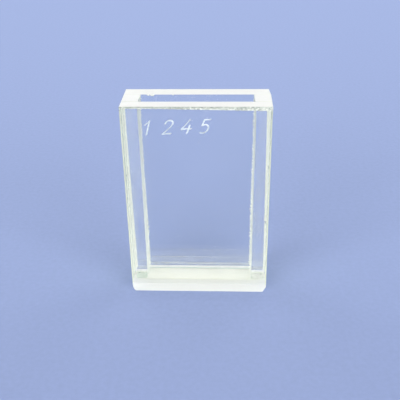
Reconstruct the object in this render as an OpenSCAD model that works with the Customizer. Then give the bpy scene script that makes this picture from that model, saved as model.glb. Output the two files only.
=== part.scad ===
// Rectangular optical cell (cuvette) for a photometer.
// Two polished windows stand face to face on a thin base plate, held apart by two side walls,
// and the five glass plates are bonded into one open-topped box. Light crosses it along Y, so the
// gap between the windows is the optical path. The side walls, the rims and the base are ground.
// Frame: +Z up, the front window faces -Y, the origin is the middle of the underside.

/* [Cell] */
// Outer width, across the windows
cell_w = 22; // [12:0.5:60]
// Outer height, from the underside to the rim
cell_h = 32; // [12:0.5:80]
// Optical path: the clear gap between the two windows
path_l = 3; // [1:0.5:50]

/* [Plates] */
// Thickness of the front window
front_t = 2.5; // [1:0.1:5]
// Thickness of the rear window
rear_t = 2.5; // [1:0.1:5]
// Thickness of each side wall
wall_t = 2.5; // [1:0.1:5]
// Thickness of the base plate
base_t = 1.5; // [0.8:0.1:5]

/* [Ground edges] */
// Chamfer along the front window's upper edge
rim_chamfer = 0.35; // [0.1:0.05:0.8]
// Chamfer along the rear window's upper edge
rear_rim_chamfer = 0.15; // [0.1:0.05:0.8]
// Chamfer up each upright corner
corner_chamfer = 0.2; // [0.05:0.05:0.6]
// How far the rear window's right edge tapers in across its thickness
edge_taper = 0.2; // [0.05:0.05:0.8]
// Chamfer along the underside's front edge
foot_chamfer = 0.05; // [0.05:0.05:0.5]
// Bevel along the underside's rear edge: how far it cuts in
rear_bevel_w = 0.3; // [0.1:0.05:1.5]
// Bevel along the underside's rear edge: how high it reaches
rear_bevel_h = 1.1; // [0.1:0.05:2]
// Rounded lower left end: how far it cuts in
left_round_w = 0.5; // [0.1:0.05:1.5]
// Rounded lower left end: how high it reaches
left_round_h = 1.4; // [0.1:0.05:2]
// Bevelled lower right end: how far it cuts in
right_bevel_w = 0.5; // [0.1:0.05:1.5]
// Bevelled lower right end: how high it reaches
right_bevel_h = 0.9; // [0.1:0.05:2]

/* [Hidden] */

half_w = cell_w / 2;
cell_d = front_t + path_l + rear_t; // outer depth, along the light
front_y = -cell_d / 2;              // outer face of the front window
rear_y = cell_d / 2;                // outer face of the rear window
gap_front = front_y + front_t;      // liquid side of the front window
gap_rear = rear_y - rear_t;         // liquid side of the rear window
gap_half_w = half_w - wall_t;       // liquid side of each wall, from the middle
over = 1;                           // how far a cutting form runs past the cell
round_step = 15;                    // degrees between two points of the rounded end

CLEAR_GLASS = [0.80, 0.88, 0.92, 0.45]; // polished plates
GROUND_GLASS = [0.93, 0.96, 0.93];      // plates seen by their ground faces

// Seen from above: the four upright corners are chamfered, and the rear window's right edge tapers.
module plan_outline() {
    polygon([
        [-half_w, front_y + corner_chamfer],
        [-half_w + corner_chamfer, front_y],
        [half_w - corner_chamfer, front_y],
        [half_w, front_y + corner_chamfer],
        [half_w, gap_rear],
        [half_w - edge_taper, rear_y - corner_chamfer],
        [half_w - edge_taper - corner_chamfer, rear_y],
        [-half_w + corner_chamfer, rear_y],
        [-half_w, rear_y - corner_chamfer]
    ]);
}

// Seen from the side, with y to the right: the rim and the foot are chamfered, and the rear foot is bevelled.
module side_outline() {
    polygon([
        [front_y + foot_chamfer, 0],
        [rear_y - rear_bevel_w, 0],
        [rear_y, rear_bevel_h],
        [rear_y, cell_h - rear_rim_chamfer],
        [rear_y - rear_rim_chamfer, cell_h],
        [front_y + rim_chamfer, cell_h],
        [front_y, cell_h - rim_chamfer],
        [front_y, foot_chamfer]
    ]);
}

// Quarter of an ellipse from the left side down to the underside.
left_round = [
    for (a = [0 : round_step : 90])
        [-half_w + left_round_w * (1 - cos(a)), left_round_h * (1 - sin(a))]
];

// Seen from the front: the lower left corner is worn round and the lower right one is bevelled.
module front_outline() {
    polygon(concat(
        left_round,
        [
            [half_w - right_bevel_w, 0],
            [half_w, right_bevel_h],
            [half_w, cell_h],
            [-half_w, cell_h]
        ]
    ));
}

// The outer form that the bonded cell is ground to.
module ground_form() {
    intersection() {
        linear_extrude(cell_h) plan_outline();
        translate([-half_w - over, 0, 0])
            rotate([90, 0, 90]) linear_extrude(cell_w + 2 * over) side_outline();
        translate([0, rear_y + over, 0])
            rotate([90, 0, 0]) linear_extrude(cell_d + 2 * over) front_outline();
    }
}

// One plate of the cell: the block from corner a to corner b, within the outer form.
module plate(a, b) {
    intersection() {
        ground_form();
        translate(a) cube(b - a);
    }
}

module base_plate() {
    color(GROUND_GLASS)
        plate([-half_w - over, front_y - over, -over], [half_w + over, rear_y + over, base_t]);
}

module front_window() {
    color(CLEAR_GLASS)
        plate([-half_w - over, front_y - over, base_t], [half_w + over, gap_front, cell_h + over]);
}

module rear_window() {
    color(CLEAR_GLASS)
        plate([-half_w - over, gap_rear, base_t], [half_w + over, rear_y + over, cell_h + over]);
}

module left_wall() {
    color(GROUND_GLASS)
        plate([-half_w - over, gap_front, base_t], [-gap_half_w, gap_rear, cell_h + over]);
}

module right_wall() {
    color(GROUND_GLASS)
        plate([gap_half_w, gap_front, base_t], [half_w + over, gap_rear, cell_h + over]);
}

base_plate();
front_window();
rear_window();
left_wall();
right_wall();
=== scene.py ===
import itertools
import math

import bmesh
import bpy
from mathutils import Euler, Matrix, Vector, noise


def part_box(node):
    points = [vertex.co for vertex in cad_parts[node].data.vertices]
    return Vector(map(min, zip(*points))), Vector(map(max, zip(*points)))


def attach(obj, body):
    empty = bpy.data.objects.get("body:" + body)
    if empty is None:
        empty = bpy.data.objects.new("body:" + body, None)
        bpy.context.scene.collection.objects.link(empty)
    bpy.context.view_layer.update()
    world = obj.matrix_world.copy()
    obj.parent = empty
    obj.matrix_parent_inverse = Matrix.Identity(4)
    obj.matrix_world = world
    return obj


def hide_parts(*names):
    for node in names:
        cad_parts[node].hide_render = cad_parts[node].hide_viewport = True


# Looks of a rectangular optical cell: five bonded glass plates, polished where light crosses them and
# ground everywhere else. Each plate is one closed mesh whose faces carry their own finish. Shapes are
# worked out in millimetres, from the boxes of the CAD nodes, and become metres when a mesh is made.

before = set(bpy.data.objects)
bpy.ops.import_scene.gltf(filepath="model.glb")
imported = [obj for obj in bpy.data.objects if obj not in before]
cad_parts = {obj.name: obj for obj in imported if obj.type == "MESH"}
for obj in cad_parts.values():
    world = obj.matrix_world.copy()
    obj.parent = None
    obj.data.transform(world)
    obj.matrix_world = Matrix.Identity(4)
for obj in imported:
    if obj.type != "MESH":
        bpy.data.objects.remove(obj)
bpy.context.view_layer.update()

MM = 0.001
BODY = "root"

# ---------------------------------------------------------------- sizes, in millimetres


def node_box(node):
    """Lowest and highest corner of a CAD node, in millimetres."""
    low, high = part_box(node)
    return low / MM, high / MM


FRONT_LO, FRONT_HI = node_box("front_window")
REAR_LO, REAR_HI = node_box("rear_window")
LEFT_LO, LEFT_HI = node_box("left_wall")
RIGHT_LO, RIGHT_HI = node_box("right_wall")
BASE_LO, BASE_HI = node_box("base_plate")

GAP_FRONT = FRONT_HI.y           # liquid side of the front window
GAP_REAR = REAR_LO.y             # liquid side of the rear window
CAVITY_LEFT = LEFT_HI.x          # liquid side of the left wall
CAVITY_RIGHT = RIGHT_LO.x        # liquid side of the right wall
CELL_TOP = FRONT_HI.z
JOINT_Z = BASE_HI.z              # where the four uprights stand on the base plate

BOND_GAP = 0.004                 # keeps two bonded faces from lying in one plane
STATION = 0.1                    # spacing of the points along an uneven edge
SEAM = 0.03                      # arris on an edge that no cut is given for
EDGE_TAPER = 0.2                 # how far the right side has come in at the rear, from the rear joint on
LEFT_LEAN = 0.09                 # how far the left side leans in at its foot
RIGHT_LEAN = 0.035               # how far the right side lies in from the CAD face
LEAN_START = 1.5                 # how far under the rim it has come in by that much
LEAN_BLEND = 0.6                 # how far out from a side wall's middle the lean comes in

# ---------------------------------------------------------------- widths along an edge


def clamp(value):
    return min(1.0, max(0.0, value))


def steady(value):
    """A width that is the same all along an edge."""
    return lambda t: value


def slope(low, high, start, end):
    """A width that changes evenly from one end of an edge to the other."""
    return lambda t: start + (end - start) * (t - low) / (high - low)


def ramp(low, high, start, end):
    """A width that is even below one place along an edge, changes, and is even again above another."""

    def width(t):
        part = clamp((t - low) / (high - low))
        part = part * part * (3.0 - 2.0 * part)
        return start + (end - start) * part

    return width


FINE_WAVER = 0.6                 # strength of the second, finer waver of a ragged edge
FINE_PITCH = 2.9                 # how much finer it is


def ragged(mean, amount, pitch, seed, chips=()):
    """Width of a ground edge at t along it: a mean, which may change along it, a waver, and chips.

    A chip is (centre, half width, depth)."""

    def width(t):
        base = mean(t) if callable(mean) else mean
        waver = noise.noise(Vector((t / pitch, seed, 0.0)))
        waver += FINE_WAVER * noise.noise(Vector((FINE_PITCH * t / pitch, seed, 7.0)))
        total = base + amount * waver
        for centre, half, depth in chips:
            total += depth * max(0.0, 1.0 - ((t - centre) / half) ** 2)
        return total

    return width


BEAD_PITCH = 0.22
BEAD_LEAST = 0.015


def bead(mean, amount, seed, drops=()):
    """A bead of cement along an edge: rough at a fine scale, and never quite gone."""
    rough = ragged(mean, amount, BEAD_PITCH, seed, drops)
    return lambda t: max(BEAD_LEAST, rough(t))


# ---------------------------------------------------------------- boxes with uneven edges

SIDES = ("x0", "x1", "y0", "y1", "z0", "z1")


class EdgeBox:
    """A closed box with six flat sides, whose twelve edges are cut back by uneven strips.

    cuts maps two sides that meet, such as ("y0", "z1"), to the strip's width on each of them, as
    functions of the place along the edge. A width below zero stands proud, as a bead of cement does."""

    def __init__(self, lo, hi, cuts):
        self.ends = (lo, hi)
        self.cuts = cuts
        self.bm = bmesh.new()
        self.corners = {}
        self.borders = {}

    def place(self, side):
        """Axis of a side, where it lies along that axis, and which way is inward."""
        axis, end = "xyz".index(side[0]), int(side[1])
        return axis, self.ends[end][axis], (1.0, -1.0)[end]

    def width(self, side, other, t):
        """How far the face of one side stops short of another side."""
        if (side, other) in self.cuts:
            return self.cuts[side, other][0](t)
        if (other, side) in self.cuts:
            return self.cuts[other, side][1](t)
        return SEAM

    def border_point(self, side, other, t):
        """Point at t along the border of one side's face towards another side."""
        axis, level, _ = self.place(side)
        across, edge, inward = self.place(other)
        point = Vector((0.0, 0.0, 0.0))
        point[axis] = level
        point[across] = edge + inward * self.width(side, other, t)
        point[3 - axis - across] = t
        return point

    def corner_point(self, side, second, third):
        """Corner of one side's face, near the corner of the box that it shares with two others."""
        point = self.border_point(side, second, self.place(third)[1])
        across, edge, inward = self.place(third)
        point[across] = edge + inward * self.width(side, third, self.place(second)[1])
        return point

    def make_corners(self):
        """Cuts each corner of the box by a small triangle."""
        for trio in itertools.product(("x0", "x1"), ("y0", "y1"), ("z0", "z1")):
            loop = []
            for side in trio:
                second, third = (s for s in trio if s != side)
                vert = self.bm.verts.new(self.corner_point(side, second, third))
                self.corners[side, frozenset(trio)] = vert
                loop.append(vert)
            self.bm.faces.new(loop)

    def make_strip(self, first, second):
        """Joins the faces of two sides by a strip of narrow faces along their edge."""
        along = next(axis for axis in "xyz" if axis not in first + second)
        trios = [frozenset((first, second, along + end)) for end in "01"]
        index = "xyz".index(along)
        start = max(self.corners[side, trios[0]].co[index] for side in (first, second))
        stop = min(self.corners[side, trios[1]].co[index] for side in (first, second))
        count = max(1, round((stop - start) / STATION))
        places = [start + (stop - start) * i / count for i in range(1, count)]
        for side, other in ((first, second), (second, first)):
            line = [self.bm.verts.new(self.border_point(side, other, t)) for t in places]
            self.borders[side, other] = [self.corners[side, trios[0]], *line, self.corners[side, trios[1]]]
        one, two = self.borders[first, second], self.borders[second, first]
        for i in range(len(one) - 1):
            self.bm.faces.new((one[i], one[i + 1], two[i + 1], two[i]))

    def make_face(self, side):
        """Closes the flat face of a side, inside its four borders."""
        b, c = (axis for axis in "xyz" if axis != side[0])
        loop = list(self.borders[side, c + "0"])
        loop += self.borders[side, b + "1"][1:]
        loop += self.borders[side, c + "1"][::-1][1:]
        loop += self.borders[side, b + "0"][::-1][1:-1]
        self.bm.faces.new(loop)

    def build(self):
        self.make_corners()
        for first, second in itertools.combinations(SIDES, 2):
            if first[0] != second[0]:
                self.make_strip(first, second)
        for side in SIDES:
            self.make_face(side)
        bmesh.ops.recalc_face_normals(self.bm, faces=self.bm.faces[:])
        return self.bm


def split(bm, axis, place):
    """Cuts the faces of a mesh along a plane across an axis, so that each part can have its own finish."""
    point, normal = Vector((0, 0, 0)), Vector((0, 0, 0))
    point[axis], normal[axis] = place, 1.0
    everything = bm.verts[:] + bm.edges[:] + bm.faces[:]
    bmesh.ops.bisect_plane(bm, geom=everything, plane_co=point, plane_no=normal, dist=1e-5)


def split_at_walls(bm):
    """Cuts the faces of a mesh where the side walls' liquid sides meet them."""
    split(bm, 0, CAVITY_LEFT)
    split(bm, 0, CAVITY_RIGHT)


def lean_sides(bm):
    """Leans the two ground sides in a little, as they are on the real cell, and tapers the rear window."""
    split(bm, 2, CELL_TOP - LEAN_START)
    left_middle = 0.5 * (LEFT_LO.x + LEFT_HI.x)
    right_middle = 0.5 * (RIGHT_LO.x + RIGHT_HI.x)
    for v in bm.verts:
        at_left = clamp((left_middle - v.co.x) / LEAN_BLEND)
        at_right = clamp((v.co.x - right_middle) / LEAN_BLEND)
        height = clamp(v.co.z / CELL_TOP)
        behind = max(0.0, v.co.y - GAP_REAR) / (REAR_HI.y - GAP_REAR)
        near_rim = max(0.0, 1.0 - (CELL_TOP - v.co.z) / LEAN_START)
        v.co.x += at_left * LEFT_LEAN * (1.0 - height)
        v.co.x -= at_right * (RIGHT_LEAN * (1.0 - near_rim) + EDGE_TAPER * behind)


# ---------------------------------------------------------------- node trees


class Nodes:
    """Short calls for building the node tree of a material or a world."""

    def __init__(self, owner, coords="Object"):
        owner.use_nodes = True
        self.owner = owner
        self.tree = owner.node_tree
        self.tree.nodes.clear()
        self.coords = self.add("ShaderNodeTexCoord").outputs[coords]

    def add(self, kind, **settings):
        node = self.tree.nodes.new(kind)
        for key, value in settings.items():
            setattr(node, key, value)
        return node

    def feed(self, socket, value):
        """Links a node's output to a socket, or sets the socket to a plain value."""
        if isinstance(value, bpy.types.NodeSocket):
            self.tree.links.new(value, socket)
        else:
            socket.default_value = value

    def put(self, node, **values):
        """Feeds a node's inputs, whose names have _ for each space."""
        for key, value in values.items():
            self.feed(node.inputs[key.replace("_", " ")], value)
        return node

    def along(self, axis):
        """Place along an axis, in metres."""
        place = self.put(self.add("ShaderNodeSeparateXYZ"), Vector=self.coords)
        return place.outputs[axis]

    def noise(self, size_mm, detail=4.0, roughness=0.55, stretch=(1, 1, 1)):
        """Noise with features of about this size."""
        place = self.put(self.add("ShaderNodeMapping"), Vector=self.coords, Scale=stretch)
        node = self.put(
            self.add("ShaderNodeTexNoise"),
            Vector=place.outputs[0],
            Scale=1.0 / (size_mm * MM),
            Detail=detail,
            Roughness=roughness,
        )
        return node.outputs["Fac"]

    def scatter(self, size_mm):
        """How far the nearest of many points is, where one unit is the points' usual spacing."""
        node = self.put(self.add("ShaderNodeTexVoronoi"), Vector=self.coords, Scale=1.0 / (size_mm * MM))
        return node.outputs["Distance"]

    def span(self, value, low, high, to_low=0.0, to_high=1.0, kind="LINEAR"):
        """Maps a range of a value to another range, held at its ends."""
        node = self.put(
            self.add("ShaderNodeMapRange", interpolation_type=kind),
            Value=value,
            From_Min=low,
            From_Max=high,
            To_Min=to_low,
            To_Max=to_high,
        )
        return node.outputs[0]

    def math(self, operation, one, two):
        node = self.add("ShaderNodeMath", operation=operation)
        self.feed(node.inputs[0], one)
        self.feed(node.inputs[1], two)
        return node.outputs[0]

    def distance(self, value, place):
        """How far a value is from a place, on either side."""
        return self.math("ABSOLUTE", self.math("SUBTRACT", value, place), 0.0)

    def colours(self, factor, low, high, blend="MIX"):
        """Goes from one colour to another as a factor does, or multiplies the second into the first."""
        node = self.add("ShaderNodeMix", data_type="RGBA", blend_type=blend)
        for name, value in (("Factor_Float", factor), ("A_Color", low), ("B_Color", high)):
            socket = next(s for s in node.inputs if s.identifier == name)
            self.feed(socket, (*value, 1.0) if isinstance(value, tuple) else value)
        return next(s for s in node.outputs if s.identifier == "Result_Color")

    def spot(self, middle, reach):
        """One inside an oval spot with a ragged edge, zero outside; its middle and half lengths in mm."""
        place = self.put(
            self.add("ShaderNodeMapping"),
            Vector=self.coords,
            Location=tuple(-c / r for c, r in zip(middle, reach)),
            Scale=tuple(1.0 / (r * MM) for r in reach),
        )
        far = self.add("ShaderNodeVectorMath", operation="LENGTH")
        self.feed(far.inputs[0], place.outputs[0])
        uneven = self.span(self.noise(0.3, detail=2.0), 0.3, 0.7, -0.35, 0.35)
        return self.span(self.math("ADD", far.outputs["Value"], uneven), 0.6, 1.1, 1.0, 0.0)

    def mix(self, factor, one, two):
        """Mixes two shaders."""
        node = self.put(self.add("ShaderNodeMixShader"), Fac=factor)
        self.feed(node.inputs[1], one.outputs[0])
        self.feed(node.inputs[2], two.outputs[0])
        return node

    def finish(self, shader):
        """Sends a shader to the output, and returns the material or world."""
        kind = "World" if isinstance(self.owner, bpy.types.World) else "Material"
        self.put(self.add("ShaderNodeOutput" + kind), Surface=shader.outputs[0])
        return self.owner


def new_material(name):
    return Nodes(bpy.data.materials.new(name))


# ---------------------------------------------------------------- finishes of glass

GLASS_IOR = 1.517
# Height of each step of painted reflection of the white base, and the haze that it adds below.
REFLECTION_STEPS = ((4.38, 0.085), (2.9, 0.11), (1.76, 0.11))
REFLECTION_STEP_EDGE = 0.06                 # how far above its height that haze ends
REFLECTION_LINE = (0.06, 0.14, 0.09)   # half width of a step's own painted line, where the line ends, and its haze
REAR_SKIN = (0.2, 0.1)           # how deep under the rear window's outer face the painted reflection haze begins and is full


def painted_reflection_steps(n):
    """Painted reflection of the white base: haze in three steps near the foot of the rear window's outer
    face, streaked along its length.
    """
    line_wide, line_end, line_haze = REFLECTION_LINE
    haze = 0.0
    for top, step in REFLECTION_STEPS:
        haze = n.math("ADD", haze, n.span(n.along("Z"), top * MM, (top + REFLECTION_STEP_EDGE) * MM, step, 0.0))
        line = n.span(n.distance(n.along("Z"), top * MM), line_wide * MM, line_end * MM, line_haze, 0.0)
        haze = n.math("ADD", haze, line)
    streaks = n.span(n.noise(1.0, detail=3.0, stretch=(0.12, 1.0, 1.6)), 0.35, 0.65, 0.6, 1.1)
    begins, full = REAR_SKIN
    rear_face = n.span(n.along("Y"), (REAR_HI.y - begins) * MM, (REAR_HI.y - full) * MM)
    return n.math("MULTIPLY", n.math("MULTIPLY", haze, streaks), rear_face)


def polished_glass():
    """Clear optical glass with a little dust, a faint bloom, and steps of painted reflection near the rear
    window's foot.
    """
    n = new_material("clear_glass")
    specks = n.span(n.scatter(0.9), 0.05, 0.08, 1.0, 0.0)
    rare = n.span(n.noise(1.7, detail=1.0), 0.62, 0.66)
    bloom = n.span(n.noise(2.5, detail=3.0, stretch=(0.35, 1, 1)), 0.45, 0.8, 0.0, 0.012)
    dust_and_reflection = n.math("MAXIMUM", n.math("MULTIPLY", specks, rare), bloom)
    # Adds the painted reflection of the white base, in steps near the rear window's foot.
    dust_and_reflection = n.math("ADD", dust_and_reflection, painted_reflection_steps(n))
    glass = n.put(
        n.add("ShaderNodeBsdfPrincipled"),
        Base_Color=(0.985, 0.99, 0.985, 1.0),
        Roughness=0.0,
        IOR=GLASS_IOR,
        Transmission_Weight=n.math("SUBTRACT", 1.0, dust_and_reflection),
    )
    return n.finish(glass)


def frost(n, colour, grain, through):
    """A matt face that scatters light back and lets some of it through."""
    bump = n.put(n.add("ShaderNodeBump"), Height=grain, Strength=0.6, Distance=0.02 * MM).outputs[0]
    matt = n.put(
        n.add("ShaderNodeBsdfPrincipled"),
        Base_Color=colour,
        Roughness=n.span(grain, 0.3, 0.7, 0.5, 0.75),
        IOR=GLASS_IOR,
        Normal=bump,
    )
    glow = n.put(n.add("ShaderNodeBsdfTranslucent"), Color=colour, Normal=bump)
    return n.finish(n.mix(through, matt, glow))


PIT_COLOUR = (0.28, 0.34, 0.30)
FADE_FOOT = 4.0                  # height at which a side's tint begins
FADE_TOP = 31.0                  # height at which it is full


def ground_glass(
    name, bright, dull, through, pits=1.0, grit=0.11, patch=1.1, fade=None, arris=None, spots=()
):
    """Finely ground glass: matt, grainy, and lit from both of its sides.

    bright and dull are its two tones, and through is the share of its light that passes through it. pits
    is the strength of its scattered pits, and grit and patch are the sizes of its grain and its patches.
    fade tints it towards the rim, arris is the depth under the rim of a broken dark line there, and spots
    are single dark chips."""
    n = new_material(name)
    grain = n.noise(grit, detail=5.0, roughness=0.7)
    patches = n.noise(patch, detail=3.0)
    lapping = n.noise(0.5, detail=3.0, stretch=(0.12, 0.12, 1.6))
    tone = n.math("ADD", n.math("MULTIPLY", grain, 0.55), n.math("MULTIPLY", patches, 0.3))
    tone = n.math("ADD", tone, n.math("MULTIPLY", lapping, 0.15))
    colour = n.colours(n.span(tone, 0.4, 0.56), dull, bright)
    if fade:
        rise = n.span(n.along("Z"), FADE_FOOT * MM, FADE_TOP * MM)
        colour = n.colours(rise, colour, fade, "MULTIPLY")
    dots = n.span(n.scatter(0.55), 0.07, 0.12, pits, 0.0)
    rare = n.span(n.noise(0.9, detail=1.0), 0.6, 0.64)
    colour = n.colours(n.math("MULTIPLY", dots, rare), colour, PIT_COLOUR)
    for middle, reach in spots:
        colour = n.colours(n.spot(middle, reach), colour, PIT_COLOUR)
    if arris:
        near = n.span(n.along("Z"), (CELL_TOP - arris) * MM, (CELL_TOP - 0.4 * arris) * MM)
        broken = n.span(n.noise(0.2, detail=1.0), 0.4, 0.52, 0.0, 0.8)
        colour = n.colours(n.math("MULTIPLY", near, broken), colour, PIT_COLOUR)
    return frost(n, colour, grain, through)


def bonded_joint(name, most):
    """A joint between two plates that light crosses unbent, with a faint uneven haze in it."""
    n = new_material(name)
    streaks = n.noise(1.4, detail=4.0, stretch=(1.0, 1.0, 0.25))
    clear = n.add("ShaderNodeBsdfTransparent")
    haze = n.put(n.add("ShaderNodeBsdfDiffuse"), Color=(0.97, 0.99, 0.98, 1.0))
    return n.finish(n.mix(n.span(streaks, 0.35, 0.7, 0.1 * most, most), clear, haze))


def place_across(n, axis, start, end):
    """Place along an axis, from -1 at one end of a patch to 1 at its other end."""
    middle, half = 0.5 * (start + end) * MM, 0.5 * (end - start) * MM
    return n.math("DIVIDE", n.math("SUBTRACT", n.along(axis), middle), half)


PATCH_POWER = 6.0                # how square a patch is: 2 is an oval
FRONT_EDGE = 0.1                 # where a front outline fades out, either side of the patch's middle
BED_SPOT = (0.12, 0.3, 0.2)      # half lengths of a dark chip in a bed
CEMENT = (0.80, 0.90, 0.81)
CEMENT_EDGE = (0.66, 0.74, 0.62)


def joint_bed(name, low, high, filled, spots):
    """Where a side wall stands on the base plate: frosted, with a patch of cement or its front outline.

    low and high are the patch's corners, and spots are the middles of dark chips round it."""
    n = new_material(name)
    across, back = (place_across(n, axis, start, end) for axis, start, end in zip("XY", low, high))
    powers = [n.math("POWER", n.math("ABSOLUTE", place, 0.0), PATCH_POWER) for place in (across, back)]
    uneven = n.span(n.noise(0.35, detail=4.0), 0.3, 0.7, -0.5, 0.5)
    edge = n.math("ADD", n.math("ADD", *powers), uneven)
    grain = n.noise(0.2, detail=5.0, roughness=0.75)
    if filled:
        mark = n.math("MULTIPLY", n.span(edge, 0.7, 0.95, 1.0, 0.0), n.span(grain, 0.38, 0.56, 0.35, 1.0))
    else:
        front = n.span(back, -FRONT_EDGE, FRONT_EDGE, 1.0, 0.0)
        ring = n.span(n.distance(edge, 0.85), 0.1, 0.5, 1.0, 0.0)
        mark = n.math("MULTIPLY", n.math("MULTIPLY", ring, front), n.span(grain, 0.4, 0.5, 0.3, 1.0))
    colour = n.colours(mark, (1.0, 1.0, 0.96), CEMENT if filled else CEMENT_EDGE)
    for middle in spots:
        colour = n.colours(n.spot(middle, BED_SPOT), colour, PIT_COLOUR)
    return frost(n, colour, grain, 0.5)


# Small chips in the outer sides: the middle of each, and its half lengths.
SIDE_CHIPS = (
    ((-10.97, -0.12, 20.05), (0.3, 0.68, 0.22)),
    ((-10.95, 0.94, 14.43), (0.3, 0.55, 0.16)),
    ((10.9, 2.34, 20.76), (0.3, 0.68, 0.24)),
    ((10.8, 3.54, 10.56), (0.3, 0.6, 0.24)),
)

FINISHES = {
    "polished": polished_glass(),
    "ground": ground_glass(
        "frosted_glass", (0.98, 1.0, 0.82), (0.95, 0.975, 0.79), 0.7,
        fade=(0.87, 0.88, 0.89), spots=SIDE_CHIPS,
    ),
    # A greyer, darker copy of the frosted glass for the sides that face the cavity: painted shade of the
    # cavity. Its fade makes it darker and bluer towards the rim.
    "inner": ground_glass(
        "frosted_inside_painted_shade", (0.90, 0.91, 0.86), (0.84, 0.86, 0.82), 0.7, fade=(0.8, 0.82, 0.87)
    ),
    "rim": ground_glass("lapped_rim", (1.0, 0.995, 0.975), (0.97, 0.965, 0.945), 0.3, pits=0.4),
    "bevel": ground_glass(
        "rim_bevel", (0.95, 0.98, 0.90), (0.24, 0.27, 0.22), 0.3, grit=0.16, patch=0.3, arris=0.12
    ),
    "base": ground_glass("lapped_base", (1.0, 0.995, 0.965), (0.992, 0.987, 0.957), 0.68, pits=0.4),
    "rear_bevel": ground_glass("lapped_bevel", (1.0, 0.99, 0.88), (0.98, 0.97, 0.86), 0.9, pits=0.4),
    "foot": ground_glass("lapped_foot", (1.0, 1.0, 0.97), (0.98, 0.98, 0.95), 0.0, pits=0.3),
    "pool": ground_glass("cavity_floor", (1.0, 1.0, 0.95), (0.97, 0.975, 0.91), 0.5, pits=0.3),
    "footing": ground_glass("joint_frost", (1.0, 1.0, 0.98), (0.995, 0.995, 0.97), 1.0, pits=0.2),
    # A dark grey-green frost for the rear window's foot edge on its liquid side: painted shade of the groove
    # where it stands on the base plate.
    "line": ground_glass("joint_groove_painted_shade", (0.55, 0.66, 0.56), (0.38, 0.48, 0.40), 0.3),
    "scribed": ground_glass(
        "scribed_number", (0.97, 1.0, 1.0), (0.80, 0.87, 0.93), 0.1, pits=0.0, grit=0.3
    ),
    "bead": ground_glass(
        "cement_bead", (1.0, 1.0, 0.90), (0.62, 0.66, 0.60), 0.3, pits=0.0, grit=0.22, patch=0.4
    ),
    "seam": ground_glass("cement_line", (0.66, 0.72, 0.64), (0.32, 0.38, 0.33), 0.3, grit=0.3),
    "bed_left": joint_bed(
        "joint_bed_left", (-10.45, -1.45), (-8.6, 1.45), True, ((-10.11, 1.25, 1.5), (-10.09, -1.48, 1.5))
    ),
    "bed_right": joint_bed(
        "joint_bed_right", (8.6, -1.45), (10.55, 1.4), False, ((8.55, 0.81, 1.5), (10.23, 1.11, 1.5))
    ),
    "bond": bonded_joint("bonded_joint", 0.09),
    "foot_bond": bonded_joint("bonded_foot", 0.012),
}

# ---------------------------------------------------------------- which face has which finish

NEAR = 1e-4                      # how near a plane a corner has to be to lie in it
RIM_ZONE = 0.6                   # how far under the rim its bevel reaches
SLOT_ZONE = 0.5                  # how far under the rim the slot's edge strips reach
NUMBER_MARGIN = 0.5              # how far below the number's foot its grooves may reach
NUMBER_TOP = 31.0                # height that they stay under
FOOT_ZONE = 0.3                  # how far above the base plate a window's foot edge reaches
EDGE_ZONE = 0.1                  # how far from a plate's face the narrow strips along its edges lie
BEVEL_ZONE = 0.25                # the same for the rim bevel
SEAM_ZONE = 0.08                 # the same for the arris along a joint
SIDE_ZONE = 0.2                  # how far in from the outer sides a joint's dark line lies
SEAM_TOP = 0.2                   # how far under the rim that line ends
BEAD_ZONE = 0.4                  # how far from a wall's liquid side its cement reaches


def lies_on(face, axis, place):
    """True if every corner of a face lies in a plane across an axis."""
    return all(abs(v.co[axis] - place) < NEAR for v in face.verts)


def in_cavity(face):
    """True if a face's middle lies between the two side walls."""
    return CAVITY_LEFT < face.calc_center_median().x < CAVITY_RIGHT


def is_groove(face, outer_y):
    """True for a groove of the number, which lies just under the front window's outer face."""
    middle = face.calc_center_median()
    in_number = FIGURE_FOOT - NUMBER_MARGIN < middle.z < NUMBER_TOP
    return in_number and outer_y < middle.y < outer_y + EDGE_ZONE and in_cavity(face)


def is_rim_bevel(face, outer_y):
    """True for the bevel between the front window's outer face and the rim."""
    middle = face.calc_center_median()
    return outer_y < 0.0 and middle.z > CELL_TOP - RIM_ZONE and middle.y < outer_y + BEVEL_ZONE


def runs_along_gap(face, gap_y):
    """True for the narrow strips where a window's liquid side meets its top or its foot."""
    middle = face.calc_center_median()
    near_end = middle.z > CELL_TOP - SLOT_ZONE or middle.z < JOINT_Z + FOOT_ZONE
    return near_end and abs(middle.y - gap_y) < EDGE_ZONE and in_cavity(face)


def is_side_seam(face, gap_y):
    """True for the arris along a window's joint with a side wall, at the outer side."""
    middle = face.calc_center_median()
    at_side = abs(abs(middle.x) - BASE_HI.x) < SIDE_ZONE
    return at_side and abs(middle.y - gap_y) < SEAM_ZONE and middle.z < CELL_TOP - SEAM_TOP


def window_finish(outer_y, gap_y, slot_edge, foot_edge):
    """The rule that gives each face of a window its finish, with two for the edges of its liquid side."""

    def finish(face):
        if lies_on(face, 1, outer_y):
            return "polished"
        if lies_on(face, 1, gap_y):
            return "polished" if in_cavity(face) else "bond"
        if lies_on(face, 2, JOINT_Z):
            return "foot_bond"
        if lies_on(face, 2, CELL_TOP):
            return "rim"
        if is_groove(face, outer_y):
            return "scribed"
        if is_rim_bevel(face, outer_y):
            return "bevel"
        if runs_along_gap(face, gap_y):
            middle = face.calc_center_median()
            if middle.z < JOINT_Z + FOOT_ZONE:
                return foot_edge
            chipped = any(start < middle.x < stop for start, stop in CHIP_WHITE)
            return "bead" if chipped and gap_y > 0.0 else slot_edge
        return "seam" if is_side_seam(face, gap_y) else "ground"

    return finish


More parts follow.
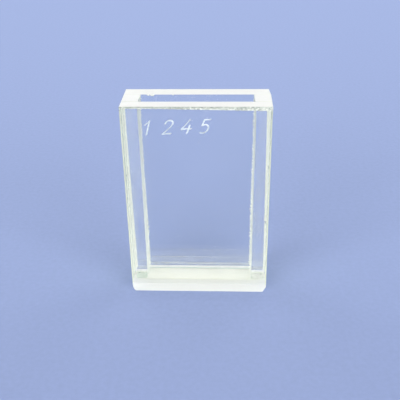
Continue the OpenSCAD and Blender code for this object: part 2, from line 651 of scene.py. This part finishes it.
def wall_finish(lo, hi, inner):
    """The rule that gives each face of a side wall its finish; inner is its liquid side."""

    def finish(face):
        if lies_on(face, 1, lo.y) or lies_on(face, 1, hi.y):
            return "bond"
        if lies_on(face, 2, lo.z):
            return "foot_bond"
        if lies_on(face, 2, hi.z):
            return "rim"
        middle = face.calc_center_median()
        if lies_on(face, 0, inner):
            # The liquid side gets the copy of the frosted glass darkened by painted shade.
            return "inner"
        if abs(middle.x - inner) < BEAD_ZONE:
            return "bead" if middle.y > 0.0 else "inner"
        along_joint = min(middle.y - lo.y, hi.y - middle.y) < EDGE_ZONE
        return "seam" if along_joint and middle.z < hi.z - SEAM_TOP else "ground"

    return finish


def base_finish(top, rear):
    """The rule that gives each face of the base plate its finish."""

    def upper(middle):
        if middle.y > GAP_REAR:
            return "bond"
        if middle.y < GAP_FRONT:
            return "footing"
        if middle.x < CAVITY_LEFT:
            return "bed_left"
        return "bed_right" if middle.x > CAVITY_RIGHT else "pool"

    def finish(face):
        middle = face.calc_center_median()
        if lies_on(face, 1, rear):
            return "polished"
        if lies_on(face, 2, top):
            return upper(middle)
        if lies_on(face, 2, BOND_GAP):
            return "foot"
        return "rear_bevel" if middle.y > rear - REAR_BEVEL[0] and middle.z < REAR_BEVEL[1] else "base"

    return finish


def make_piece(bm, name, finish_of, order, node):
    """Turns a mesh in millimetres into the piece that stands for a CAD node.

    order lists the finishes in the order of the piece's materials."""
    for face in bm.faces:
        face.material_index = order.index(finish_of(face))
    bmesh.ops.scale(bm, vec=(MM, MM, MM), verts=bm.verts[:])
    mesh = bpy.data.meshes.new(name)
    bm.to_mesh(mesh)
    bm.free()
    for finish in order:
        mesh.materials.append(FINISHES[finish])
    piece = bpy.data.objects.new(name, mesh)
    bpy.context.scene.collection.objects.link(piece)
    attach(piece, BODY)
    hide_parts(node)
    return piece


# ---------------------------------------------------------------- the scribed number

# Strokes of a number in generic hand-scribed figures: points (across, up) in a box one unit high.
FIGURES = {
    "1": (((0.08, 0.72), (0.3, 0.96), (0.34, 0.98), (0.34, 0.5), (0.34, 0.0)),),
    "2": (((0.02, 0.76), (0.14, 0.95), (0.36, 1.0), (0.54, 0.84), (0.46, 0.56), (0.22, 0.26), (0.0, 0.03),
           (0.08, 0.02), (0.34, 0.05), (0.62, 0.02)),),
    "4": (((0.44, 1.0), (0.24, 0.7), (0.02, 0.36), (0.08, 0.33), (0.36, 0.36), (0.68, 0.35)),
          ((0.5, 0.62), (0.47, 0.3), (0.44, 0.0))),
    "5": (((0.6, 0.99), (0.38, 0.97), (0.18, 0.97), (0.16, 0.93), (0.12, 0.62), (0.15, 0.57), (0.36, 0.62),
           (0.56, 0.46), (0.54, 0.18), (0.32, 0.0), (0.06, 0.06)),),
}
NUMBER = (("1", -8.0), ("2", -4.95), ("4", -2.35), ("5", 0.3))     # each figure, and its left end
FIGURE_HEIGHT = 2.1
FIGURE_FOOT = 27.75              # height of the number's foot at its left end
FIGURE_RISE = 0.035              # how far it climbs in each millimetre to the right
FIGURE_SLANT = 0.27
SECOND_CUT = (0.12, 0.09)        # how far right of and above its first cut a stroke's second cut lies
HAND_SHAKE = 0.1
SHAKE_STEP = 0.7                 # how fast the shake changes from one point to the next
GROOVE_WIDE = 0.07               # half the width of a groove
GROOVE_DEEP = 0.02               # half its depth
GROOVE_UNDER = 0.004             # thickness of clear glass left over it


def smooth_path(points, steps=7):
    """A smooth curve through points."""
    ends = [points[0], *points, points[-1]]
    path = []
    for before, start, stop, after in zip(ends, ends[1:], ends[2:], ends[3:]):
        for i in range(steps):
            t = i / steps
            path.append(
                0.5 * (2 * start + (stop - before) * t + (2 * before - 5 * start + 4 * stop - after) * t * t
                       + (3 * start - before - 3 * stop + after) * t ** 3)
            )
    return [*path, points[-1]]


def scribed_strokes():
    """Every stroke of the number on the front window, each cut twice by an unsteady hand."""
    groove_y = FRONT_LO.y + GROOVE_UNDER + GROOVE_DEEP
    seed = 0.0
    for figure, left in NUMBER:
        for stroke, again in itertools.product(FIGURES[figure], (0.0, 1.0)):
            seed += 1.0
            path = []
            for i, (across, up) in enumerate(stroke):
                shake_x = noise.noise(Vector((i * SHAKE_STEP, seed, 3.0)))
                shake_z = noise.noise(Vector((i * SHAKE_STEP, seed, 9.0)))
                x = left + FIGURE_HEIGHT * (across + FIGURE_SLANT * up) + SECOND_CUT[0] * again
                rise = FIGURE_RISE * (x - NUMBER[0][1])
                z = FIGURE_FOOT + FIGURE_HEIGHT * up + rise + SECOND_CUT[1] * again
                path.append(Vector((x, groove_y, z)) + HAND_SHAKE * Vector((shake_x, 0.0, shake_z)))
            yield smooth_path(path)


def add_groove(bm, path, sides=8):
    """Adds one scribed groove to the window, as a closed flat rod of frost just under its face."""
    deep = Vector((0.0, 1.0, 0.0))
    loops = []
    for i, point in enumerate(path):
        ahead, behind = path[min(i + 1, len(path) - 1)], path[max(i - 1, 0)]
        aside = (ahead - behind).normalized().cross(deep)
        loop = []
        for k in range(sides):
            a = 2.0 * math.pi * k / sides
            offset = GROOVE_WIDE * math.cos(a) * aside + GROOVE_DEEP * math.sin(a) * deep
            loop.append(bm.verts.new(point + offset))
        loops.append(loop)
    faces = [bm.faces.new(loops[0]), bm.faces.new(loops[-1])]
    for one, two in zip(loops, loops[1:]):
        for k in range(sides):
            j = (k + 1) % sides
            faces.append(bm.faces.new((one[k], one[j], two[j], two[k])))
    bmesh.ops.recalc_face_normals(bm, faces=faces)


# ---------------------------------------------------------------- windows

BEVEL_LEAST = 0.165              # least height of the front window's rim bevel
BEVEL_MIDDLE = 0.305             # its height at the middle of the rim
BEVEL_GROWTH = 0.0195            # how much it grows in each millimetre to the right


def rim_bevel_drop(x):
    """Height of the front window's rim bevel: even at the left, and growing to the right."""
    return max(BEVEL_LEAST, BEVEL_MIDDLE + BEVEL_GROWTH * x)


def front_window():
    """The front window: its rim bevel widens to the right, and the slot's edge is a little uneven."""
    lo, hi = FRONT_LO, FRONT_HI
    cuts = {
        ("y0", "z1"): (ragged(rim_bevel_drop, 0.08, 0.22, 11.0), ragged(0.33, 0.05, 0.2, 12.0)),
        ("y1", "z1"): (ragged(0.05, 0.03, 0.7, 13.0), ragged(0.05, 0.03, 0.4, 14.0)),
        ("x0", "z1"): (steady(0.05), ragged(0.015, 0.01, 0.5, 15.0)),
        ("x1", "z1"): (steady(0.1), ragged(0.04, 0.02, 0.5, 16.0)),
        ("x0", "y0"): (ragged(0.2, 0.02, 1.3, 17.0), ragged(0.18, 0.02, 1.1, 18.0)),
        ("x1", "y0"): (ragged(0.2, 0.02, 1.2, 19.0), ragged(0.18, 0.02, 1.2, 20.0)),
        ("y0", "z0"): (steady(0.012), steady(0.012)),
    }
    bm = EdgeBox(lo, hi, cuts).build()
    split_at_walls(bm)
    lean_sides(bm)
    for path in scribed_strokes():
        add_groove(bm, path)
    order = ["polished", "ground", "rim", "bevel", "seam", "scribed", "bond", "foot_bond"]
    finish = window_finish(lo.y, hi.y, "ground", "ground")
    return make_piece(bm, "front_window_glass", finish, order, "front_window")


# Chips in the slot's rear edge, and where the three deepest catch the light.
SLOT_CHIPS = (
    (-7.3, 0.25, 0.15),
    (-6.72, 0.42, 0.22),
    (-3.57, 0.2, 0.09),
    (3.4, 0.3, 0.06),
    (-1.9, 0.25, 0.05),
)
CHIP_WHITE = ((-7.5, -7.12), (-7.0, -6.38), (-3.7, -3.45))
RIGHT_NICK = ((10.5, 0.22, -0.1), (10.9, 0.2, 0.1))     # a proud spot and a nick, a third of the way up
LEFT_CHAMFER = (0.1, 0.26)       # width of the rear left chamfer near the rim, and how much it gains
LEFT_CHAMFER_TOP = 26.0          # height at which it begins to widen
LEFT_CHAMFER_RUN = 23.0          # how far down it goes on widening


def rear_left_chamfer(z):
    """Width of the rear window's left corner chamfer, which was ground wider towards the foot."""
    return LEFT_CHAMFER[0] + LEFT_CHAMFER[1] * clamp((LEFT_CHAMFER_TOP - z) / LEFT_CHAMFER_RUN)


def rear_window():
    """The rear window: chips in the slot's edge, and upright chamfers of uneven width."""
    lo, hi = REAR_LO, REAR_HI
    right_side, right_rear = slope(lo.z, hi.z, 0.1, 0.2), slope(lo.z, hi.z, 0.08, 0.34)
    cuts = {
        ("y0", "z1"): (ragged(0.03, 0.02, 0.6, 21.0, SLOT_CHIPS), ragged(0.012, 0.01, 0.5, 22.0)),
        ("x0", "y0"): (ragged(ramp(12.0, 18.0, 0.09, 0.03), 0.05, 0.35, 33.0), steady(0.05)),
        ("x1", "y0"): (ragged(0.05, 0.04, 0.35, 34.0), steady(0.05)),
        ("y1", "z1"): (ragged(0.1, 0.02, 0.9, 23.0), ragged(0.06, 0.02, 0.9, 24.0)),
        ("x0", "z1"): (steady(0.05), ragged(0.015, 0.01, 0.5, 25.0)),
        ("x1", "z1"): (steady(0.1), ragged(0.05, 0.02, 0.5, 26.0)),
        ("x0", "y1"): (
            ragged(rear_left_chamfer, 0.02, 1.1, 27.0),
            ragged(rear_left_chamfer, 0.02, 1.2, 28.0),
        ),
        ("x1", "y1"): (ragged(right_side, 0.02, 1.1, 29.0), ragged(right_rear, 0.025, 1.0, 30.0, RIGHT_NICK)),
        ("y0", "z0"): (ragged(0.17, 0.03, 0.9, 31.0), steady(0.08)),
    }
    bm = EdgeBox(lo, hi, cuts).build()
    split_at_walls(bm)
    lean_sides(bm)
    order = ["polished", "ground", "rim", "seam", "bead", "bond", "foot_bond", "line"]
    # The foot edge of its liquid side gets the painted shade of its groove with the base plate.
    finish = window_finish(hi.y, lo.y, "polished", "line")
    return make_piece(bm, "rear_window_glass", finish, order, "rear_window")


# ---------------------------------------------------------------- side walls


def side_wall(name, node, lo, hi, inner, cuts):
    """A side wall: ground inside and out, with beads of cement where it meets the windows."""
    lo, hi = lo.copy(), hi.copy()
    lo.y += BOND_GAP
    hi.y -= BOND_GAP
    bm = EdgeBox(lo, hi, cuts).build()
    lean_sides(bm)
    order = ["ground", "inner", "rim", "seam", "bead", "bond", "foot_bond"]
    return make_piece(bm, name, wall_finish(lo, hi, inner), order, node)


# Drops along the cement of the left wall, and bare places between them.
LEFT_DROPS = (
    (10.6, 0.22, 0.14),
    (10.15, 0.15, -0.12),
    (9.65, 0.22, 0.12),
    (9.15, 0.15, -0.1),
    (8.65, 0.25, 0.1),
    (7.75, 0.2, -0.08),
)


def left_wall():
    """The left wall: its rear bead of cement is widest near the foot, with drops along it."""
    rear = bead(ramp(8.0, 22.0, 0.2, 0.02), 0.3, 41.0, LEFT_DROPS)
    front = bead(ramp(20.0, 30.0, 0.02, 0.09), 0.02, 42.0)
    cuts = {
        ("x1", "y1"): (rear, lambda t: -rear(t)),
        ("x1", "y0"): (front, front),
        ("x0", "y0"): (steady(0.05), ragged(ramp(12.0, 18.0, 0.03, 0.09), 0.05, 0.35, 45.0)),
        ("x1", "z1"): (steady(0.06), ragged(0.05, 0.03, 0.4, 43.0)),
        ("x0", "z1"): (steady(0.05), ragged(0.015, 0.01, 0.5, 44.0)),
    }
    return side_wall("left_wall_glass", "left_wall", LEFT_LO, LEFT_HI, CAVITY_LEFT, cuts)


def right_wall():
    """The right wall: both its beads run its whole height, and thin out under the rim."""
    rear = bead(ramp(13.0, 26.0, 0.2, 0.07), 0.4, 51.0, ((CELL_TOP, 1.2, -0.08),))
    front = bead(ramp(16.0, 30.0, 0.09, 0.2), 0.025, 52.0, ((CELL_TOP, 2.5, -0.05),))
    cuts = {
        ("x0", "y1"): (rear, lambda t: -rear(t)),
        ("x0", "y0"): (front, front),
        ("x1", "y0"): (steady(0.05), ragged(ramp(20.0, 28.0, 0.05, 0.1), 0.05, 0.35, 55.0)),
        ("x0", "z1"): (steady(0.06), ragged(0.05, 0.03, 0.4, 53.0)),
        ("x1", "z1"): (steady(0.1), ragged(0.04, 0.02, 0.5, 54.0)),
    }
    return side_wall("right_wall_glass", "right_wall", RIGHT_LO, RIGHT_HI, CAVITY_RIGHT, cuts)


# ---------------------------------------------------------------- base plate

LEFT_ROUND = (0.5, 1.4)          # how far the base plate's rounded left end cuts in, and its height
RIGHT_BEVEL = (0.5, 0.9)         # the same for the bevel at its right end
REAR_BEVEL = (0.3, 1.1)          # the same for the bevel along its rear
FOOT = 0.04                      # chamfer along its front
FRONT_CORNER = 0.12              # chamfer up its front corners
REAR_CORNER = 0.2                # chamfer up its rear corners
ROUND_TURNS = 8                  # steps round the rounded end
BASE_STATION = 0.5               # spacing of the points along its outline
LEAST_SIDE = 0.02                # least height left of the right side under the top


def base_outline(top, lift):
    """The base plate seen from the front, above a height: a round end, a bevelled end and a flat top."""
    left, right = BASE_LO.x, BASE_HI.x
    points = []
    last = math.asin(1.0 - lift / LEFT_ROUND[1])
    for i in range(ROUND_TURNS + 1):
        a = last * i / ROUND_TURNS
        points.append((left + LEFT_ROUND[0] * (1 - math.cos(a)), LEFT_ROUND[1] * (1 - math.sin(a))))
    bevel = max(0.0, 1.0 - lift / RIGHT_BEVEL[1])
    start, stop = points[-1][0], right - RIGHT_BEVEL[0] * bevel
    count = round((right - left) / BASE_STATION)
    points += [(start + (stop - start) * i / count, lift) for i in range(1, count + 1)]
    points += [(right, max(RIGHT_BEVEL[1], lift + LEAST_SIDE)), (right, top - SEAM), (right - SEAM, top)]
    points += [(right - (right - left) * i / count, top) for i in range(1, count)]
    points += [(left + SEAM, top), (left, top - SEAM)]
    return points


def base_plate():
    """The base plate: one outline carried from front to rear, drawn in at the foot and the corners."""
    top = BASE_HI.z - BOND_GAP
    half = BASE_HI.x
    front, rear = BASE_LO.y, BASE_HI.y
    rings = (
        (front, 1 - FRONT_CORNER / half, FOOT),
        (front + FRONT_CORNER, 1.0, 0.0),
        (rear - REAR_BEVEL[0], 1.0, 0.0),
        (rear, 1 - REAR_CORNER / half, REAR_BEVEL[1]),
    )
    bm = bmesh.new()
    loops = []
    for y, narrow, lift in rings:
        outline = base_outline(top, lift)
        loops.append([bm.verts.new((x * narrow, y, max(z, BOND_GAP))) for x, z in outline])
    for one, two in zip(loops, loops[1:]):
        for i in range(len(one)):
            j = (i + 1) % len(one)
            bm.faces.new((one[i], one[j], two[j], two[i]))
    bm.faces.new(loops[0])
    bm.faces.new(loops[-1])
    bmesh.ops.recalc_face_normals(bm, faces=bm.faces[:])
    split_at_walls(bm)
    split(bm, 1, GAP_FRONT)
    split(bm, 1, GAP_REAR)
    lean_sides(bm)
    order = ["base", "rear_bevel", "foot", "pool", "footing", "bed_left", "bed_right", "bond", "polished"]
    return make_piece(bm, "base_plate_glass", base_finish(top, rear), order, "base_plate")


# ---------------------------------------------------------------- floor, light and camera

FLOOR_COLOUR = (0.33, 0.405, 0.65)
FLOOR_REACH = 12.0               # half the floor's width, in metres
FAR_FLOOR_LIT = 1.2              # how much brighter than written the floor looks far away
WORLD_LIGHT = 0.66
HORIZON = (0.3, 0.7)             # heights on a dome of 1 between which the sky stops looking like the floor


def plain_floor():
    """A pale blue table, large enough to reach the horizon."""
    n = new_material("floor")
    tone = n.span(n.noise(0.8, detail=3.0), 0.3, 0.7, 0.97, 1.03)
    shade = n.add("ShaderNodeVectorMath", operation="SCALE")
    n.feed(shade.inputs[0], FLOOR_COLOUR)
    n.feed(shade.inputs["Scale"], tone)
    cloth = n.put(n.add("ShaderNodeBsdfDiffuse"), Color=shade.outputs[0], Roughness=0.6)
    mesh = bpy.data.meshes.new("floor")
    bm = bmesh.new()
    bmesh.ops.create_grid(bm, x_segments=4, y_segments=4, size=FLOOR_REACH)
    bm.to_mesh(mesh)
    bm.free()
    mesh.materials.append(n.finish(cloth))
    floor = bpy.data.objects.new("floor", mesh)
    bpy.context.scene.collection.objects.link(floor)


def world_light():
    """A white sky that lights the cell, and that looks like the floor where it is seen near the horizon."""
    world = bpy.data.worlds.new("studio")
    bpy.context.scene.world = world
    n = Nodes(world, "Generated")
    ray = n.add("ShaderNodeLightPath").outputs
    through = n.math("MAXIMUM", ray["Is Glossy Ray"], ray["Is Transmission Ray"])
    through = n.math("MULTIPLY", through, n.math("SUBTRACT", 1.0, ray["Is Diffuse Ray"]))
    through = n.math("MULTIPLY", through, n.math("LESS_THAN", ray["Diffuse Depth"], 0.5))
    seen = n.math("MAXIMUM", ray["Is Camera Ray"], through)
    low = n.span(n.along("Z"), *HORIZON, 1.0, 0.0, kind="SMOOTHSTEP")
    light = n.put(n.add("ShaderNodeBackground"), Color=(1.0, 1.0, 1.0, 1.0), Strength=WORLD_LIGHT)
    backdrop = n.put(n.add("ShaderNodeBackground"), Color=(*FLOOR_COLOUR, 1.0), Strength=FAR_FLOOR_LIT)
    n.finish(n.mix(n.math("MULTIPLY", seen, low), light, backdrop))


LAMP_REACH = 3.0                 # distance of each lamp from the cell, in metres
LAMP_SIZE = 2.1
LAMP_LIFT = 15.0                 # degrees above level
# Name, degrees round the cell from the front, and power of each lamp.
LAMPS = (
    ("key", -35.0, 52.0),
    ("fill", 40.0, 45.0),
    ("rear_left", -140.0, 45.0),
    ("rear_right", 140.0, 45.0),
)


def soft_box(name, turn, power):
    """A square soft light aimed at the cell, at an angle round it from the front."""
    data = bpy.data.lights.new(name, "AREA")
    data.shape = "SQUARE"
    data.size = LAMP_SIZE
    data.energy = power
    lamp = bpy.data.objects.new(name, data)
    bpy.context.scene.collection.objects.link(lamp)
    lift = math.radians(LAMP_LIFT)
    around = math.radians(turn)
    away = Vector((math.sin(around) * math.cos(lift), -math.cos(around) * math.cos(lift), math.sin(lift)))
    middle = Vector((0.0, 0.0, 0.5 * CELL_TOP * MM))
    facing = away.to_track_quat("Z", "Y").to_matrix().to_4x4()
    lamp.matrix_world = Matrix.Translation(middle + LAMP_REACH * away) @ facing
    lamp.visible_camera = False


def studio():
    for lamp in LAMPS:
        soft_box(*lamp)


CAMERA_PLACE = (0.004519, -0.092448, 0.06524)
CAMERA_TURN = -2.654             # degrees to the right of straight ahead
CAMERA_DIP = 28.523              # degrees below level
CAMERA_ROLL = -0.931
LENS_MM = 59.53
SENSOR_MM = 36.0


def camera():
    """The camera, close to the cell and looking down at it."""
    data = bpy.data.cameras.new("camera")
    data.lens = LENS_MM
    data.sensor_width = SENSOR_MM
    data.clip_start = 0.001
    data.clip_end = 50.0
    cam = bpy.data.objects.new("camera", data)
    bpy.context.scene.collection.objects.link(cam)
    aim = Euler((math.radians(90 - CAMERA_DIP), 0.0, math.radians(-CAMERA_TURN))).to_matrix()
    roll = Matrix.Rotation(math.radians(CAMERA_ROLL), 3, "Z")
    cam.matrix_world = Matrix.Translation(CAMERA_PLACE) @ (aim @ roll).to_4x4()
    bpy.context.scene.camera = cam


def settings():
    """Plain colours, and enough bounces for light to cross several plates of glass."""
    scene = bpy.context.scene
    scene.view_settings.view_transform = "Standard"
    scene.cycles.blur_glossy = 0.0
    scene.cycles.max_bounces = 24
    scene.cycles.diffuse_bounces = 8
    scene.cycles.transmission_bounces = 24
    scene.cycles.transparent_max_bounces = 32


settings()
camera()
world_light()
studio()
plain_floor()
front_window()
rear_window()
left_wall()
right_wall()
base_plate()

bpy.context.view_layer.update()
